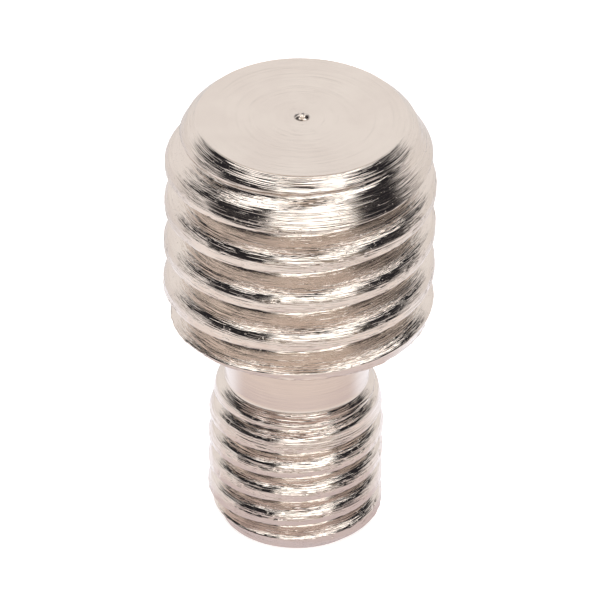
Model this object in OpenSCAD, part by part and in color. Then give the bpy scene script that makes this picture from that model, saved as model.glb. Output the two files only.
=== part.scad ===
// Double-ended threaded stud, turned from one bar. A thick right-hand thread stands on a
// plain neck, and a thin right-hand thread runs below it down to the flat foot.
// All sizes are in millimetres. The axis is Z, the foot is at z = 0, the front is -Y.

/* [Thick thread] */
// diameter over the crests of the thick thread
thick_d = 9.2; // [8.9:0.05:9.5]
// distance from one crest of the thick thread to the next
thick_pitch = 1.5875; // [1.5:0.0125:1.6]
// length of the thick thread, from its underside to the top face
thick_len = 7.6; // [6.6:0.1:9]
// how deep the groove of the thick thread is cut
thick_depth = 0.81; // [0.6:0.01:0.82]
// width of the crest of the thick thread, with the bevel on its upper edge
thick_crest = 0.5; // [0.45:0.01:0.55]
// how far that bevel is cut in from the crest
thick_bevel = 0.16; // [0.05:0.01:0.18]
// how far below the top face the first whole groove lies, at the front
thick_start = 2.09; // [1.9:0.01:2.3]

/* [Top face] */
// diameter of the flat top face
face_d = 7.0; // [6.4:0.1:7.2]
// diameter at which the steep edge chamfer gives way to the gentle lead taper
lead_d = 8.6; // [8.4:0.02:8.8]
// length of chamfer and lead taper together
lead_len = 1.5; // [1.2:0.1:2.2]
// diameter of the small raised pip in the middle of the top face
pip_d = 0.44; // [0.3:0.02:0.8]
// height of the pip
pip_h = 0.1; // [0.05:0.01:0.2]

/* [Neck] */
// diameter of the plain neck
neck_d = 4.9; // [4.4:0.05:4.95]
// length of the plain neck between the two threads
neck_len = 2.94; // [1.5:0.02:5]

/* [Thin thread] */
// diameter over the crests of the thin thread
thin_d = 5.96; // [5.8:0.02:6.1]
// distance from one crest of the thin thread to the next
thin_pitch = 1.0; // [0.96:0.02:1.06]
// length of the thin thread, from the foot to the neck
thin_len = 5.46; // [4.5:0.02:8]
// how deep the groove of the thin thread is cut
thin_depth = 0.44; // [0.32:0.01:0.46]
// width of the crest of the thin thread, with the bevel on its upper edge
thin_crest = 0.42; // [0.38:0.01:0.46]
// how far that bevel is cut in from the crest
thin_bevel = 0.14; // [0.05:0.01:0.15]
// height of the first groove centre above the foot, at the front
thin_start = 0.06; // [0:0.01:0.1]

/* [Thin thread ends] */
// diameter of the flat foot
foot_d = 5.12; // [4.8:0.02:5.3]
// height of the foot chamfer
foot_h = 0.6; // [0.4:0.05:0.9]
// diameter where the shoulder cone under the neck ends
shoulder_d = 5.5; // [5.4:0.02:5.7]
// height of the shoulder cone
shoulder_h = 0.28; // [0.2:0.02:0.6]
// length from the neck down to the first crest of full diameter
run_len = 1.3; // [1:0.05:1.8]

/* [Hidden] */

flank = tan(30);                      // both threads have sixty degree grooves
over = 0.08;                          // how far a groove cutter stands proud of the crests
thick_r = thick_d / 2;
thin_r = thin_d / 2;
neck_z = thin_len;
thick_z = neck_z + neck_len;
top_z = thick_z + thick_len;
chamfer_h = (lead_d - face_d) / 2;    // the edge chamfer is cut at 45 degrees
thick_lift = 0.19;                    // how much shallower the grooves are where they run out
thin_lift = 0.14;
thick_fade = 1.7;                     // length over which that lift dies away
thin_fade = 0.9;
thick_seg = 60;                       // cutter steps in one turn
thin_seg = 54;

// smooth step from 0 to 1
function ease(x) = let (t = min(1, max(0, x))) t * t * (3 - 2 * t);

// lift of the cutter at height z, for each thread
function thick_out(z) = thick_lift * ease((z - top_z + thick_fade) / thick_fade);
function thin_out(z) = thin_lift * (ease((thin_fade - z) / thin_fade)
                                  + ease((z - neck_z + thin_fade) / thin_fade));

// the five corners of a groove section, as [radius, height from the groove centre]; the bevel
// leans by thirty degrees and the flanks by sixty
function groove(r, pitch, depth, crest, bevel) =
    let (open = (pitch - crest) / 2,
         root = max(0.02, open - depth * flank),
         knee = open - bevel * flank)
    [[r + over, -knee - (bevel + over) / flank], [r - bevel, -knee],
     [r - depth, -root], [r - depth, root], [r + over, open + over * flank]];

// a point of a section set at azimuth a and height z
function place(c, a, z) = [c[0] * cos(a), c[0] * sin(a), z + c[1]];

// a helical cutter: one five-cornered section for each step, joined by triangles and capped by a
// fan from the knee of the bevel
module helix(sections) {
    end = 5 * (len(sections) - 1);
    fan = [[1, 2, 3], [1, 3, 4], [1, 4, 0]];
    polyhedron(
        points = [for (s = sections) for (p = s) p],
        faces = concat(
            fan,
            [for (i = [0 : 5 : end - 5]) for (k = [0 : 4]) for (h = [0, 1])
                let (a = i + k, b = i + (k + 1) % 5, c = a + 5, d = b + 5)
                h == 0 ? [a, c, b] : [b, c, d]],
            [for (f = fan) [f[2] + end, f[1] + end, f[0] + end]]),
        convexity = 12);
}

// both cutters run past the ends of their threads, so the grooves run out in the open
module thick_groove() {
    below = thick_len - thick_start + thick_pitch / 2;
    above = thick_start + thick_pitch / 2;
    first = -ceil(below / thick_pitch * thick_seg);
    last = ceil(above / thick_pitch * thick_seg);
    helix([for (i = [first : last])
        let (t = i / thick_seg, z = top_z - thick_start + thick_pitch * t,
             s = groove(thick_r + thick_out(z), thick_pitch, thick_depth, thick_crest, thick_bevel))
        [for (c = s) place(c, 360 * t - 90, z)]]);
}

module thin_groove() {
    below = thin_start + thin_pitch / 2;
    above = thin_len - thin_start + thin_pitch / 2;
    first = -ceil(below / thin_pitch * thin_seg);
    last = ceil(above / thin_pitch * thin_seg);
    helix([for (i = [first : last])
        let (t = i / thin_seg, z = thin_start + thin_pitch * t,
             s = groove(thin_r + thin_out(z), thin_pitch, thin_depth, thin_crest, thin_bevel))
        [for (c = s) place(c, 360 * t - 90, z)]]);
}

// the turned blank before threading
module blank() {
    rotate_extrude($fn = 96)
        polygon([
            [0, 0], [foot_d / 2, 0], [thin_r, foot_h],
            [thin_r, neck_z - run_len], [shoulder_d / 2, neck_z - shoulder_h],
            [neck_d / 2, neck_z], [neck_d / 2, thick_z], [thick_r, thick_z],
            [thick_r, top_z - lead_len], [lead_d / 2, top_z - chamfer_h],
            [face_d / 2, top_z], [pip_d / 2, top_z], [pip_d / 2, top_z + pip_h],
            [0, top_z + pip_h]]);
}

module stud() {
    color([0.80, 0.76, 0.72])
    difference() {
        blank();
        thick_groove();
        thin_groove();
    }
}

stud();
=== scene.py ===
import math

import bpy
import numpy as np
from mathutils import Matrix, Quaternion, Vector


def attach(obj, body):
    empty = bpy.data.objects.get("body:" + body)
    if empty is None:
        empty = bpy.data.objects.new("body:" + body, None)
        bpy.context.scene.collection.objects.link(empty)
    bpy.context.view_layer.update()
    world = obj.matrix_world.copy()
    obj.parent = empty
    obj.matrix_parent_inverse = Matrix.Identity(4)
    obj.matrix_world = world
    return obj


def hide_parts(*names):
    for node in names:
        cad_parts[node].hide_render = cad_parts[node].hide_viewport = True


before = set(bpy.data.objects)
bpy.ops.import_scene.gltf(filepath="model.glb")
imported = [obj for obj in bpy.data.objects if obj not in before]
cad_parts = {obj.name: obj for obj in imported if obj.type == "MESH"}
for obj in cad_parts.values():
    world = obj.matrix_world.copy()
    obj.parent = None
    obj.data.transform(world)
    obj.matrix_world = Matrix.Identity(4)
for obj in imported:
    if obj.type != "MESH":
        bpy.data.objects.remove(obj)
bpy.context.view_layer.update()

# Sizes of the stud are in millimetres and become metres where the mesh is made. They were fitted to the
# photograph and stay within 0.2 mm of the solid's sizes.
MM = 0.001

# Profile of the stud
TOP = 16.0               # height of the top face
HEAD = 8.32              # height of the head's underside, where the thick thread starts
SHOULDER = 5.46          # top of the thin thread, where the neck starts
THICK_R = 4.6            # radius over the crests
THIN_R = 2.98
NECK_R = 2.45
FILLET = 0.10            # how far the neck widens right under the head
FILLET_H = 0.25          # length over which it does so
FACE_R = 3.55            # radius of the flat top face
# edge chamfer and lead taper, each point as its depth below the top face and its radius
LEAD = ((0, FACE_R), (0.36, 3.92), (0.78, 4.14), (1.1, 4.34), (1.6, THICK_R))
RIM_CUT = 0.19           # how much smaller the head's lower rim is than its crests
RIM_SLOPE = 0.35         # how fast it widens above the underside
CONE_R = 2.75            # radius at the foot of the shoulder cone
CONE_H = 0.25
RUN = 1.3                # depth below the neck at which the thin thread is full
FOOT_R = 2.53
FOOT_H = 0.6             # height of the foot chamfer
FOOT_SHIFT = 0.03        # how far the flat foot is off-centre
CHAMFER_SHIFT = 0.12     # how much further off-centre its chamfer is
CHAMFER_SHIFT_H = 0.25   # height at which the chamfer has moved that far
PAST_THIN = 9.0          # a height and radius past the whole thin end

# Threads, both right-handed with sixty degree grooves
FLANK = math.tan(math.radians(30))
THICK = dict(
    pitch=1.5875,
    depth=0.81,          # of the groove, below the crests
    crest=0.50,          # width of a crest with its bevel
    bevel=0.16,          # how far the bevel on a crest's upper edge is cut in
    lean=FLANK,          # slope of that bevel
    knee=0.10,           # rounding between the bevel and the flank
    phase=TOP - 2.16,    # height of a groove's centre at the front
)
THIN = dict(pitch=1.0, depth=0.44, crest=0.42, bevel=0.14, lean=0.46, knee=0.15, phase=-0.04)
CREST_ROUND = 0.05       # rounding where a groove meets the crest
ROOT_ROUND = 0.12        # rounding at the root of a groove
LEAD_ROUND = 0.05        # rounding where the lead taper cuts the thick thread off
ENDS_ROUND = 0.05        # rounding where shoulder cone and foot chamfer meet
THIN_ROUND = 0.04        # rounding where they cut the thin thread off

# How much shallower the grooves are where they run out, and the length over which that fades
TOP_LIFT = 0.11
TOP_FADE = 1.7
SHOULDER_LIFT = 0.07
FOOT_LIFT = 0.14
THIN_FADE = 0.9
# Height above the underside or the foot where the bevel starts, and the length until it is full
HEAD_PLAIN = 0.25
HEAD_BLEND = 0.4
FOOT_PLAIN = 0.5
FOOT_BLEND = 0.5

# Wear on the crests
WORN_BAND = 0.12         # depth below the crests down to which they are worn
CREST_LOSS = 0.006
FINE_WEAR = 0.010
COARSE_WEAR = 0.006
NICK_DEPTH = 0.045
NICK_START = 0.62        # value of the noise at which a nick starts
NICK_SPAN = 0.3          # how much further it is at full depth
NICK_TURN = 0.7          # the noise is turned and raised for nicks, so that they don't follow the burrs
NICK_RISE = 3.1
RIM_BAND = 0.16          # height of the burr along the head's lower rim
RIM_FINE = 0.030
RIM_COARSE = 0.016
RIM_TURN = 0.3

# The little stump left by the facing tool
PIP_H = 0.1
PIP_SHIFT = 0.06         # how far it is off-centre
# each lobe as its place x and y, its widths along x and y, and its share of the height
PIP_LOBES = ((-0.07, 0.01, 0.085, 0.10, 1.0), (0.09, -0.02, 0.075, 0.09, 0.85))
PIP_RING = (0.16, 0.05, 0.35)          # radius, width and share of the height
PIP_EDGE = 0.30
PIP_EDGE_FADE = 0.14

# Mesh
SEGMENTS = 260           # columns round the axis
FRONT = -math.pi / 2     # azimuth of the front
AT_HEAD = HEAD - 1e-6    # rows above this belong to the head
WELD = 1e-9              # points that agree to this, in metres, become one
# rows of one turn, from the groove's centre, close together at the corners of the section
THICK_OFFSETS = [
    -0.79, -0.755, -0.735, -0.715, -0.69, -0.65, -0.60, -0.56, -0.53, -0.505, -0.48, -0.455,
    -0.43, -0.40, -0.35, -0.28, -0.21, -0.15, -0.11, -0.085, -0.055, -0.02, 0.02, 0.055, 0.085,
    0.12, 0.18, 0.27, 0.36, 0.45, 0.51, 0.535, 0.555, 0.58, 0.63, 0.70]
THIN_OFFSETS = [
    -0.52, -0.49, -0.46, -0.43, -0.39, -0.34, -0.295, -0.265, -0.24, -0.215, -0.19, -0.16,
    -0.12, -0.085, -0.055, -0.03, 0.0, 0.03, 0.055, 0.09, 0.14, 0.19, 0.24, 0.275, 0.295, 0.32,
    0.37, 0.43]
# rings across the foot and the head's underside, as shares of the way to their edge
FOOT_SHARES = (0.0, 0.25, 0.5, 0.75, 0.9, 0.97)
UNDERSIDE_SHARES = (0.15, 0.4, 0.65, 0.85, 0.95)
NECK_ROWS = 14
THREAD_END = 0.17        # depth below the face at which the helical rows end
# rings below the face's edge, as depths, and rings across the face, as radii
EDGE_DEPTHS = (0.12, 0.08, 0.045, 0.02)
FACE_RADII = (
    FACE_R - 0.012, FACE_R - 0.04, FACE_R - 0.1, 3.1, 2.7, 2.3, 1.9, 1.5, 1.2, 0.95, 0.75, 0.6, 0.48,
    0.38, 0.32, 0.27, 0.23, 0.20, 0.17, 0.13, 0.09, 0.04, 0.0)


def ease(x):
    """Smooth step from 0 to 1."""
    t = np.clip(x, 0.0, 1.0)
    return t * t * (3 - 2 * t)


def round_max(a, b, k):
    """The larger of two values, rounded over a width k where they cross."""
    h = np.clip(k - np.abs(a - b), 0, None) / k
    return np.maximum(a, b) + h * h * k * 0.25


def round_min(a, b, k):
    """The smaller of two values, rounded in the same way."""
    return -round_max(-a, -b, k)


class Ripple:
    """Seeded smooth noise from -1 to 1 over angle and height, periodic round the axis."""

    ROWS = 512
    BASE = 200.0             # keeps the row number positive

    def __init__(self, seed, cells, step):
        self.table = np.random.RandomState(seed).uniform(-1, 1, (self.ROWS, cells))
        self.cells = cells
        self.step = step

    def __call__(self, angle, height):
        u = (angle / (2 * math.pi)) % 1.0 * self.cells
        v = height / self.step + self.BASE
        i, j = np.floor(u).astype(int), np.floor(v).astype(int)
        fu, fv = ease(u - i), ease(v - j)
        low = self.along(j, i, fu)
        high = self.along(j + 1, i, fu)
        return low * (1 - fv) + high * fv

    def along(self, j, i, share):
        """Value in row j, a share of the way from cell i to the next."""
        row = j % self.ROWS
        return self.table[row, i % self.cells] * (1 - share) + self.table[row, (i + 1) % self.cells] * share


FINE = Ripple(11, 150, 0.12)
COARSE = Ripple(23, 34, 0.5)


def groove_offset(angle, z, thread):
    """Signed height above the nearest groove centre of a right-hand helix."""
    turn = ((angle - FRONT) / (2 * math.pi) + 0.5) % 1.0 - 0.5
    pitch = thread["pitch"]
    d = z - thread["phase"] - pitch * turn
    return (d + pitch / 2) % pitch - pitch / 2


def groove_depth(d, lift, thread, share):
    """Depth below the crests at a height d from the groove's centre. The upper edge of each crest has a
    worn bevel, of which a share is left."""
    mouth = (thread["pitch"] - thread["crest"]) / 2
    knee = mouth - thread["bevel"] * FLANK
    lower_flank = (mouth + d) / FLANK
    bevel = thread["bevel"] * share - (-d - knee) * thread["lean"]
    lower_side = round_max(lower_flank, bevel, thread["knee"])
    upper_side = (mouth - d) / FLANK
    side = np.where(d < 0, lower_side, upper_side) - lift
    cut = round_max(side, np.zeros_like(side), CREST_ROUND)
    return round_min(cut, np.full_like(cut, thread["depth"]) - lift, ROOT_ROUND)


def head_radius(angle, z):
    """Radius of the head, with the thick thread."""
    down = TOP - z
    lead = np.interp(down, [p[0] for p in LEAD], [p[1] for p in LEAD])
    lift = TOP_LIFT * ease((TOP_FADE - down) / TOP_FADE)
    bevel = ease((z - HEAD - HEAD_PLAIN) / HEAD_BLEND)
    depth = groove_depth(groove_offset(angle, z, THICK), lift, THICK, bevel)
    head = round_min(lead, THICK_R - depth, LEAD_ROUND)
    return np.minimum(head, THICK_R - RIM_CUT + (z - HEAD) * RIM_SLOPE)


def thin_radius(angle, z):
    """Radius of the thin end, from the foot to the shoulder."""
    below = SHOULDER - z
    cone = np.interp(below, [0, CONE_H, RUN], [NECK_R, CONE_R, THIN_R])
    shift = FOOT_SHIFT + CHAMFER_SHIFT * ease(z / CHAMFER_SHIFT_H)
    foot = np.interp(z, [0, FOOT_H, PAST_THIN], [FOOT_R, THIN_R, PAST_THIN]) + shift * np.cos(angle)
    lift = FOOT_LIFT * ease((THIN_FADE - z) / THIN_FADE)
    lift = lift + SHOULDER_LIFT * ease((THIN_FADE - below) / THIN_FADE)
    bevel = ease((z - FOOT_PLAIN) / FOOT_BLEND)
    depth = groove_depth(groove_offset(angle, z, THIN), lift, THIN, bevel)
    return round_min(round_min(cone, foot, ENDS_ROUND), THIN_R - depth, THIN_ROUND)


def stud_radius(angle, z):
    """Radius of the threaded stud at an angle and height."""
    lower = np.where(z > SHOULDER, NECK_R, thin_radius(angle, z))
    return np.where(z > AT_HEAD, head_radius(angle, z), lower)


def worn_radius(angle, z):
    """The stud's radius with small burrs and nicks, strongest on the crests and along the head's rim."""
    r = stud_radius(angle, z)
    in_head = z > AT_HEAD
    full = np.where(in_head, THICK_R, THIN_R)
    crest = ease(1 - (full - r) / WORN_BAND)
    neck = (z > SHOULDER) & ~in_head
    rough = FINE_WEAR * FINE(angle, z) + COARSE_WEAR * COARSE(angle, z)
    nick = ease((FINE(angle + NICK_TURN, z + NICK_RISE) - NICK_START) / NICK_SPAN)
    rough = rough - NICK_DEPTH * nick
    r = r + np.where(neck, 0.0, crest * rough - CREST_LOSS * crest)
    rim = np.where(in_head, ease(1 - (z - HEAD) / RIM_BAND), 0.0)
    r = r + rim * (RIM_FINE * FINE(angle + RIM_TURN, 2 * z) + RIM_COARSE * COARSE(angle, 3 * z))
    return np.minimum(r, full)


def pip_height(r, angle):
    """Height above the top face, which is all flat except for the lumpy pip."""
    x, y = r * np.cos(angle) - PIP_SHIFT, r * np.sin(angle)
    lumps = 0.0
    for place_x, place_y, wide, deep, share in PIP_LOBES:
        lumps = lumps + share * np.exp(-(((x - place_x) / wide) ** 2 + ((y - place_y) / deep) ** 2))
    radius, width, share = PIP_RING
    lumps = lumps + share * np.exp(-((r - radius) / width) ** 2)
    return PIP_H * np.clip(lumps, 0, 1) * ease((PIP_EDGE - r) / PIP_EDGE_FADE)


def columns():
    """Azimuths of the mesh's columns, once round from the back, with both ends."""
    return FRONT - math.pi + 2 * math.pi * np.arange(SEGMENTS + 1) / SEGMENTS


def thread_rows(thread, low, high, offsets):
    """Heights of rows that follow the helix, one for each column, held between low and high."""
    turn = (columns() - FRONT) / (2 * math.pi)
    first = math.floor((low - thread["phase"]) / thread["pitch"]) - 1
    last = math.ceil((high - thread["phase"]) / thread["pitch"]) + 1
    for k in range(first, last + 1):
        for offset in offsets:
            yield np.clip(thread["phase"] + thread["pitch"] * (turn + k) + offset, low, high)


def stud_points():
    """Rings of points from the foot's centre up to the pip, each SEGMENTS + 1 long."""
    angle = columns()
    one = np.ones_like(angle)
    rings = []

    def ring(r, z):
        rings.append(np.stack([r * np.cos(angle), r * np.sin(angle), z * one], axis=1))

    edge = worn_radius(angle, 0 * one)
    for share in FOOT_SHARES:
        ring(edge * share, 0.0)
    for z in thread_rows(THIN, 0.0, SHOULDER, THIN_OFFSETS):
        ring(worn_radius(angle, z), z)
    for z in np.linspace(SHOULDER, HEAD, NECK_ROWS):
        ring(NECK_R + FILLET * ease((z - HEAD + FILLET_H) / FILLET_H) ** 2 * one, z)
    edge = worn_radius(angle, HEAD * one)
    inner = NECK_R + FILLET
    for share in UNDERSIDE_SHARES:
        ring(inner + (edge - inner) * share, HEAD)
    for z in thread_rows(THICK, HEAD, TOP - THREAD_END, THICK_OFFSETS):
        ring(worn_radius(angle, z), z)
    for down in EDGE_DEPTHS:
        z = (TOP - down) * one
        ring(stud_radius(angle, z), z)
    for r in FACE_RADII:
        ring(r * one, TOP + pip_height(r, angle))
    return rings


def solid_from_rings(name, rings):
    """One closed mesh from stacked rings. Points that fall together become one."""
    points = np.concatenate(rings) * MM
    keys = np.round(points / WELD).astype(np.int64)
    _, first, index = np.unique(keys, axis=0, return_index=True, return_inverse=True)
    index = index.reshape(len(rings), SEGMENTS + 1)
    faces = []
    for a, b in zip(index, index[1:]):
        for i in range(SEGMENTS):
            loop = [a[i], a[i + 1], b[i + 1], b[i]]
            kept = [v for n, v in enumerate(loop) if v != loop[n - 1]]
            if len(set(kept)) == len(kept) and len(kept) > 2:
                faces.append(kept)
    mesh = bpy.data.meshes.new(name)
    mesh.from_pydata([tuple(points[i]) for i in first], [], faces)
    mesh.validate()
    mesh.update()
    mesh.polygons.foreach_set("use_smooth", [True] * len(mesh.polygons))
    return add_object(name, mesh)


def add_object(name, data):
    """A new object in the scene."""
    obj = bpy.data.objects.new(name, data)
    bpy.context.scene.collection.objects.link(obj)
    return obj


class Nodes:
    """Short helpers for building a node tree."""

    # places of the colour sockets on the Mix node
    MIX_A = 6
    MIX_B = 7
    MIX_RESULT = 2

    def __init__(self, tree):
        self.tree = tree
        tree.nodes.clear()

    def add(self, kind):
        return self.tree.nodes.new(kind)

    def link(self, a, b):
        self.tree.links.new(a, b)

    def math(self, op, a, b=None):
        n = self.add("ShaderNodeMath")
        n.operation = op
        for slot, value in zip(n.inputs, (a, b)):
            if isinstance(value, (int, float)):
                slot.default_value = value
            elif value is not None:
                self.link(value, slot)
        return n.outputs[0]

    def plus(self, a, b):
        return self.math("ADD", a, b)

    def times(self, a, b):
        return self.math("MULTIPLY", a, b)

    def over(self, a, b):
        return self.math("DIVIDE", a, b)

    def most(self, a, b):
        return self.math("MAXIMUM", a, b)

    def split(self, vector):
        n = self.add("ShaderNodeSeparateXYZ")
        self.link(vector, n.inputs[0])
        return n.outputs

    def length(self, x, y):
        return self.math("SQRT", self.plus(self.times(x, x), self.times(y, y)))

    def ramp(self, value, low, high, out_low=0.0, out_high=1.0):
        """Smooth step of a value, from out_low at low to out_high at high."""
        n = self.add("ShaderNodeMapRange")
        n.interpolation_type = "SMOOTHSTEP"
        self.link(value, n.inputs["Value"])
        n.inputs["From Min"].default_value = low
        n.inputs["From Max"].default_value = high
        n.inputs["To Min"].default_value = out_low
        n.inputs["To Max"].default_value = out_high
        return n.outputs["Result"]

    def noise(self, vector, scale, detail, rough, w=None):
        n = self.add("ShaderNodeTexNoise")
        n.noise_dimensions = "3D" if w is None else "4D"
        self.link(vector, n.inputs["Vector"])
        if w is not None:
            self.link(w, n.inputs["W"])
        n.inputs["Scale"].default_value = scale
        n.inputs["Detail"].default_value = detail
        n.inputs["Roughness"].default_value = rough
        return n.outputs["Fac"]

    def mix(self, share, a, b):
        """Colour a, and colour b where the share is 1. Each is a socket or a plain colour."""
        n = self.add("ShaderNodeMix")
        n.data_type = "RGBA"
        self.link(share, n.inputs["Factor"])
        for slot, value in ((self.MIX_A, a), (self.MIX_B, b)):
            if isinstance(value, tuple):
                n.inputs[slot].default_value = (*value, 1.0)
            else:
                self.link(value, n.inputs[slot])
        return n.outputs[self.MIX_RESULT]

    def mix_shader(self, share, a, b):
        """Shader a, and shader b where the share is 1."""
        n = self.add("ShaderNodeMixShader")
        if isinstance(share, float):
            n.inputs[0].default_value = share
        else:
            self.link(share, n.inputs[0])
        self.link(a, n.inputs[1])
        self.link(b, n.inputs[2])
        return n.outputs[0]


def node_material(name):
    """A new material and the helpers for its node tree."""
    mat = bpy.data.materials.new(name)
    mat.use_nodes = True
    return mat, Nodes(mat.node_tree)


# Metal
METAL_LIGHT = (0.81, 0.735, 0.665)
METAL_DARK = (0.77, 0.69, 0.625)
METAL_STREAK = (0.62, 0.55, 0.49)
# painted shade: near-black specks round the pip stand in for its dark reflections
PIP_SHADE = (0.07, 0.06, 0.055)
BROAD_RINGS = dict(across=7.0, around=0.8, detail=3.0)
FINE_RINGS = dict(across=20.0, around=0.9, detail=2.0)
BROAD_SHARE = 0.7                # of the relief
FINE_SHARE = 0.3
CLOUD_SCALE = 420.0
PIT_SCALE = 9000.0
SPECK_SCALE = 5200.0
MIDDLE = (0.3, 0.7)              # where most values of a noise lie
STREAKS = (0.58, 0.75)           # values of the ring noise that show as dark streaks
STREAK_SHARE = 0.35
PITS = (0.66, 0.74)              # values of the pit noise that are pits
PIT_DEPTH = -0.10
SPECKS = (0.40, 0.52)            # values of the speck noise that get the painted shade round the pip
PIP_SHADE_EDGE = (0.30, 0.20)        # radius in millimetres over which the painted shade round the pip starts
FACE_EDGE = (TOP - 0.02, TOP - 0.005)    # height in millimetres over which the top face starts
RELIEF = 0.00007                 # height of the tool marks, in metres
RELIEF_STRENGTH = 0.85
NECK_SMOOTH = 0.85               # share of the tool marks that is missing on the neck
FACE_SMOOTH = 0.7                # and on the top face
RING_ROUGHNESS = (0.06, 0.11)
CLOUD_ROUGHNESS = (0.0, 0.04)
SMOOTH_ROUGHNESS = 0.12          # added where the tool marks are missing
ANISOTROPY = 0.3


def tool_rings(n, place, across, around, detail):
    """Noise that changes fast along the profile and slowly round the axis. The place is the direction
    from the axis, and the radius and height in millimetres."""
    c, s, r_mm, z_mm = place
    vector = n.add("ShaderNodeCombineXYZ")
    n.link(n.times(c, around), vector.inputs[0])
    n.link(n.times(s, around), vector.inputs[1])
    n.link(n.times(z_mm, across), vector.inputs[2])
    return n.noise(vector.outputs[0], 1.0, detail, 0.6, w=n.times(r_mm, across))


def smooth_share(n, r_mm, z_mm):
    """How much of the tool marks is missing: most on the neck and the top face, none on the threads."""
    neck = n.times(n.ramp(r_mm, NECK_R + 0.17, NECK_R + 0.05), n.ramp(z_mm, SHOULDER, SHOULDER + 0.06))
    neck = n.times(neck, n.ramp(z_mm, HEAD + 0.1, HEAD))
    face = n.ramp(z_mm, *FACE_EDGE)
    return n.most(n.times(neck, NECK_SMOOTH), n.times(face, FACE_SMOOTH))


def metal_relief(n, coord, broad, fine, smooth):
    """The normal with tool marks and small pits."""
    height = n.plus(n.times(broad, BROAD_SHARE), n.times(fine, FINE_SHARE))
    pits = n.noise(coord, PIT_SCALE, 2.0, 0.6)
    height = n.plus(height, n.times(n.ramp(pits, *PITS), PIT_DEPTH))
    height = n.times(height, n.math("SUBTRACT", 1.0, smooth))
    bump = n.add("ShaderNodeBump")
    bump.inputs["Strength"].default_value = RELIEF_STRENGTH
    bump.inputs["Distance"].default_value = RELIEF
    n.link(height, bump.inputs["Height"])
    return bump.outputs[0]


def metal_tone(n, coord, cloud, broad, r_mm, z_mm):
    """The metal's colour: clouded, with darker streaks, and with near-black specks of painted shade round
    the pip.
    """
    tone = n.mix(n.ramp(cloud, *MIDDLE), METAL_LIGHT, METAL_DARK)
    tone = n.mix(n.ramp(broad, *STREAKS, 0.0, STREAK_SHARE), tone, METAL_STREAK)
    at_pip = n.times(n.ramp(r_mm, *PIP_SHADE_EDGE), n.ramp(z_mm, *FACE_EDGE))
    specks = n.ramp(n.noise(coord, SPECK_SCALE, 2.0, 0.5), *SPECKS)
    # painted shade: near-black specks on the top face round the pip
    return n.mix(n.times(at_pip, specks), tone, PIP_SHADE)


def nickel():
    """Bright plated metal with rings from the cutting tool, small pits, slight stains and painted shade
    round the pip.
    """
    mat, n = node_material("nickel")
    shader = n.add("ShaderNodeBsdfPrincipled")
    n.link(shader.outputs[0], n.add("ShaderNodeOutputMaterial").inputs["Surface"])
    coord = n.add("ShaderNodeTexCoord").outputs["Object"]
    x, y, z = n.split(coord)
    r = n.length(x, y)
    r_mm, z_mm = n.times(r, 1 / MM), n.times(z, 1 / MM)
    c, s = (n.over(v, n.most(r, 1e-6)) for v in (x, y))
    place = (c, s, r_mm, z_mm)
    broad = tool_rings(n, place, **BROAD_RINGS)
    fine = tool_rings(n, place, **FINE_RINGS)
    cloud = n.noise(coord, CLOUD_SCALE, 3.0, 0.55)
    smooth = smooth_share(n, r_mm, z_mm)

    n.link(metal_relief(n, coord, broad, fine, smooth), shader.inputs["Normal"])
    n.link(metal_tone(n, coord, cloud, broad, r_mm, z_mm), shader.inputs["Base Color"])
    rough = n.plus(n.ramp(broad, *MIDDLE, *RING_ROUGHNESS), n.ramp(cloud, *MIDDLE, *CLOUD_ROUGHNESS))
    rough = n.plus(rough, n.times(smooth, SMOOTH_ROUGHNESS))
    n.link(rough, shader.inputs["Roughness"])
    shader.inputs["Metallic"].default_value = 1.0
    shader.inputs["Anisotropic"].default_value = ANISOTROPY
    tangent = n.add("ShaderNodeTangent")
    tangent.direction_type = "RADIAL"
    tangent.axis = "Z"
    n.link(tangent.outputs[0], shader.inputs["Tangent"])
    return mat


# Floor. What the metal mirrors of it is a painted reflection: for glossy rays the floor glows with these
# colours, which change with the distance from the axis, in metres, and with the side. Each pair is where a
# colour starts to change and where it has changed.
PAINT = (0.78, 0.76, 0.75)
GLOW = (1.0, 0.995, 0.99)        # lifts the floor to white for the camera
GLOW_STRENGTH = 0.62
# painted shade: the mirrored floor is darker close to the stud, most of all nearest it
CLOSE = (0.75, 0.66, 0.68)
CLOSE_OUTER = (0.93, 0.82, 0.77)
# painted glow: close behind the stud the mirrored floor is brighter than white
CLOSE_BEHIND = (1.12, 1.12, 1.20)
FAR = (1.02, 0.98, 0.98)
FAR_BEHIND = (0.86, 0.83, 0.84)
# painted reflection: a band further off in the mirrored floor, dark brown in front, near black at the
# sides, pale beyond it and behind
PAINTED_BAND = (0.20, 0.155, 0.12)
PAINTED_BAND_OUTER = (0.95, 0.92, 0.90)
PAINTED_BAND_SIDES = (0.05, 0.045, 0.045)
PAINTED_BAND_BEHIND = (0.85, 0.82, 0.80)
TO_CLOSE_OUTER = (0.0095, 0.0125)
TO_FAR = (0.0145, 0.0180)
TO_PAINTED_BAND = (0.040, 0.060)
TO_PAINTED_BAND_OUTER = (0.12, 0.30)
TO_SIDES = (0.62, 0.78)          # share of the way round to the side
TO_BEHIND = (-0.15, 0.45)        # share of the way round to the back
TO_PAINTED_BAND_BEHIND = (0.1, 0.45)
SIDES_SKEW = 0.14                # turns the painted dark sides a little
REACH_SKEW = 0.35                # brings the painted dark band nearer on the right
SHADED = 0.12                    # share of the mirrored floor that takes the object's shadow


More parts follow.
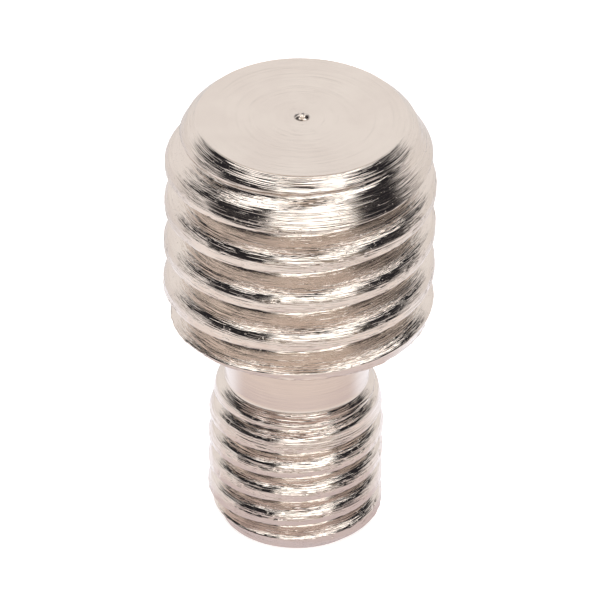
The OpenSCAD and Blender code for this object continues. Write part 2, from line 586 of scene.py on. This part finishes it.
def floor_in_metal(n):
    """Painted reflection: the colour the floor glows with in the metal, with painted shade close to the
    stud, a painted glow behind it and a painted dark band further off.
    """
    x, y, _ = n.split(n.add("ShaderNodeTexCoord").outputs["Object"])
    away = n.length(x, y)
    side = n.math("ABSOLUTE", n.over(n.plus(x, n.times(y, SIDES_SKEW)), n.most(away, 1e-4)))
    back = n.over(y, n.most(away, 1e-4))
    # painted reflection: the dark band further off, dark brown in front, near black at the sides, pale
    # beyond it and behind
    table = n.mix(n.ramp(away, *TO_PAINTED_BAND_OUTER), PAINTED_BAND, PAINTED_BAND_OUTER)
    table = n.mix(n.ramp(side, *TO_SIDES), table, PAINTED_BAND_SIDES)
    table = n.mix(n.ramp(back, *TO_PAINTED_BAND_BEHIND), table, PAINTED_BAND_BEHIND)
    # painted shade close to the stud in front, and a painted glow close behind it
    close = n.mix(n.ramp(away, *TO_CLOSE_OUTER), CLOSE, CLOSE_OUTER)
    close = n.mix(n.ramp(back, *TO_BEHIND), close, CLOSE_BEHIND)
    far = n.mix(n.ramp(back, *TO_BEHIND), FAR, FAR_BEHIND)
    near = n.mix(n.ramp(away, *TO_FAR), close, far)
    reach = n.plus(away, n.times(x, REACH_SKEW))
    return n.mix(n.ramp(reach, *TO_PAINTED_BAND), near, table)


def floor_paint():
    """Pale floor. The camera sees it white, with the shadow kept. Metal mirrors a painted reflection: the
    floor glows with the colours above, a share of them taking light and shadow as plain paint. All other
    light meets plain paint."""
    mat, n = node_material("pale_floor")
    diffuse = n.add("ShaderNodeBsdfDiffuse")
    diffuse.inputs["Color"].default_value = (*PAINT, 1)
    glow = n.add("ShaderNodeEmission")
    glow.inputs["Color"].default_value = (*GLOW, 1)
    glow.inputs["Strength"].default_value = GLOW_STRENGTH
    seen = n.add("ShaderNodeAddShader")
    n.link(diffuse.outputs[0], seen.inputs[0])
    n.link(glow.outputs[0], seen.inputs[1])

    # painted reflection: for glossy and transmission rays the floor glows with these colours
    colour = floor_in_metal(n)
    bright = n.add("ShaderNodeEmission")
    n.link(colour, bright.inputs["Color"])
    shaded = n.add("ShaderNodeBsdfDiffuse")
    n.link(colour, shaded.inputs["Color"])
    mirrored = n.mix_shader(SHADED, bright.outputs[0], shaded.outputs[0])

    path = n.add("ShaderNodeLightPath").outputs
    plain = n.mix_shader(path["Is Camera Ray"], diffuse.outputs[0], seen.outputs[0])
    shiny = n.most(path["Is Glossy Ray"], path["Is Transmission Ray"])
    surface = n.mix_shader(shiny, plain, mirrored)
    n.link(surface, n.add("ShaderNodeOutputMaterial").inputs["Surface"])
    return mat


# Room. Walls and the panel are placed by azimuth, in degrees to the right of the camera's side, and by
# the height of a direction. The ceiling's parts are placed where a direction meets a plane above, by
# the distance to either side and towards the back. Each pair is where a part starts to show and where
# it shows in full.
WALL = (0.96, 0.94, 0.94)
DIM = (0.024, 0.023, 0.027)
STRIP = (0.66, 0.56, 0.48)
LAMP = (2.0, 1.98, 1.97)
PANEL = (2.5, 2.5, 2.5)
PANEL_FOOT = (0.34, 0.29, 0.22)
GROUND = (0.80, 0.76, 0.73)
RIGHT_WALL = (84.0, 98.0)
LEFT_WALL = (-72.0, -84.0)
SIDE_WALL_TOP = (0.34, 0.22)
BACK_WALL = (116.0, 134.0)
BACK_WALL_TOP = (0.80, 0.68)
PANEL_LEFT = (-30.0, -18.0)
PANEL_RIGHT = (52.0, 40.0)
PANEL_TOP = (0.75, 0.66)
PANEL_WHITE = (0.24, 0.36)
LAMP_INNER = (0.14, 0.22)
LAMP_OUTER = (0.78, 0.70)
LAMP_FRONT = (-0.50, -0.42)
LAMP_BACK = (0.50, 0.40)
STRIP_SIDES = (0.5, 0.3)
STRIP_FRONT = (-0.36, -0.24)
STRIP_BACK = (0.95, 0.70)
HORIZON = (-0.02, 0.03)


def room_colour(n):
    """Colour of the room in each direction: pale walls, low at the sides and high behind, a white panel
    with a tan foot in front, and two white lamps above with a tan strip between them. The gaps are dim."""
    x, y, z = n.split(n.add("ShaderNodeTexCoord").outputs["Generated"])
    azimuth = n.times(n.math("ARCTAN2", x, n.times(y, -1.0)), 180 / math.pi)
    sides = n.most(n.ramp(azimuth, *RIGHT_WALL), n.ramp(azimuth, *LEFT_WALL))
    sides = n.times(sides, n.ramp(z, *SIDE_WALL_TOP))
    behind = n.times(n.ramp(n.math("ABSOLUTE", azimuth), *BACK_WALL), n.ramp(z, *BACK_WALL_TOP))
    panel = n.times(n.ramp(azimuth, *PANEL_LEFT), n.ramp(azimuth, *PANEL_RIGHT))
    panel = n.times(panel, n.ramp(z, *PANEL_TOP))

    u = n.math("ABSOLUTE", n.over(x, n.most(z, 0.05)))
    v = n.over(y, n.most(z, 0.05))
    lamps = n.times(n.ramp(u, *LAMP_INNER), n.ramp(u, *LAMP_OUTER))
    lamps = n.times(lamps, n.times(n.ramp(v, *LAMP_FRONT), n.ramp(v, *LAMP_BACK)))
    strip = n.times(n.ramp(u, *STRIP_SIDES), n.ramp(v, *STRIP_FRONT))
    strip = n.times(strip, n.ramp(v, *STRIP_BACK))

    room = n.mix(n.most(sides, behind), DIM, WALL)
    room = n.mix(strip, room, STRIP)
    room = n.mix(lamps, room, LAMP)
    room = n.mix(panel, room, n.mix(n.ramp(z, *PANEL_WHITE), PANEL_FOOT, PANEL))
    return n.mix(n.ramp(z, *HORIZON), GROUND, room)


def studio_world():
    """A white backdrop to the camera, and the room to everything else."""
    world = bpy.data.worlds.new("studio")
    world.use_nodes = True
    n = Nodes(world.node_tree)
    lit = n.add("ShaderNodeBackground")
    n.link(room_colour(n), lit.inputs["Color"])
    white = n.add("ShaderNodeBackground")
    white.inputs["Color"].default_value = (1, 1, 1, 1)
    to_camera = n.add("ShaderNodeLightPath").outputs["Is Camera Ray"]
    surface = n.mix_shader(to_camera, lit.outputs[0], white.outputs[0])
    n.link(surface, n.add("ShaderNodeOutputWorld").inputs["Surface"])
    bpy.context.scene.world = world


LAMP_AIM = (0, 0, 0.01)          # a place in the head, in metres


def softbox(name, place, size, radiance):
    """A rectangular lamp that faces the stud. A radiance of 1 is plain white in a mirror."""
    lamp = bpy.data.lights.new(name, "AREA")
    lamp.shape = "RECTANGLE"
    lamp.size, lamp.size_y = size
    lamp.energy = radiance * math.pi * size[0] * size[1]
    obj = add_object(name, lamp)
    obj.location = place
    aim = Vector(LAMP_AIM) - obj.location
    obj.rotation_mode = "QUATERNION"
    obj.rotation_quaternion = aim.to_track_quat("-Z", "Y")
    obj.visible_camera = False
    obj.visible_glossy = False             # the metal shows the room's own panels instead


def studio_lights():
    """One large lamp in front and one above on each side."""
    softbox("front_box", (0.10, -1.05, 0.52), (0.86, 1.02), 0.9)
    softbox("left_box", (-0.40, -0.10, 1.0), (0.40, 0.80), 1.0)
    softbox("right_box", (0.40, -0.10, 1.0), (0.40, 0.80), 1.0)


def floor():
    """A flat square, five metres wide."""
    half = 2.5
    mesh = bpy.data.meshes.new("floor")
    corners = [(-half, -half, 0), (half, -half, 0), (half, half, 0), (-half, half, 0)]
    mesh.from_pydata(corners, [], [(0, 1, 2, 3)])
    mesh.materials.append(floor_paint())
    obj = add_object("floor", mesh)


# Camera on the -Y side with a very long lens
CAMERA_TILT = math.radians(34.0)       # above level
CAMERA_ROLL = math.radians(1.1)
CAMERA_DISTANCE = 0.45
CAMERA_TARGET = (0.056, 0, 8.526)      # in millimetres
FOCAL_PIXELS = 13422.5                 # focal length in pixels of the photograph
PHOTO_PIXELS = 600                     # its width
SENSOR = 36.0


def camera():
    """Camera at the photograph's angle."""
    data = bpy.data.cameras.new("camera")
    data.sensor_width = SENSOR
    data.lens = FOCAL_PIXELS / PHOTO_PIXELS * SENSOR
    obj = add_object("camera", data)
    back = CAMERA_DISTANCE * math.cos(CAMERA_TILT)
    up = CAMERA_DISTANCE * math.sin(CAMERA_TILT)
    obj.location = (0, -back, TOP * MM + up)
    look = (Vector(CAMERA_TARGET) * MM - obj.location).to_track_quat("-Z", "Y")
    obj.rotation_mode = "QUATERNION"
    obj.rotation_quaternion = look @ Quaternion((0, 0, 1), CAMERA_ROLL)
    bpy.context.scene.camera = obj


def stud():
    """The stud, one piece that takes the place of its solid."""
    obj = solid_from_rings("threaded_stud", stud_points())
    obj.data.materials.append(nickel())
    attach(obj, "root")
    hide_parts("stud")


bpy.context.scene.view_settings.view_transform = "Standard"
camera()
studio_world()
studio_lights()
floor()
stud()
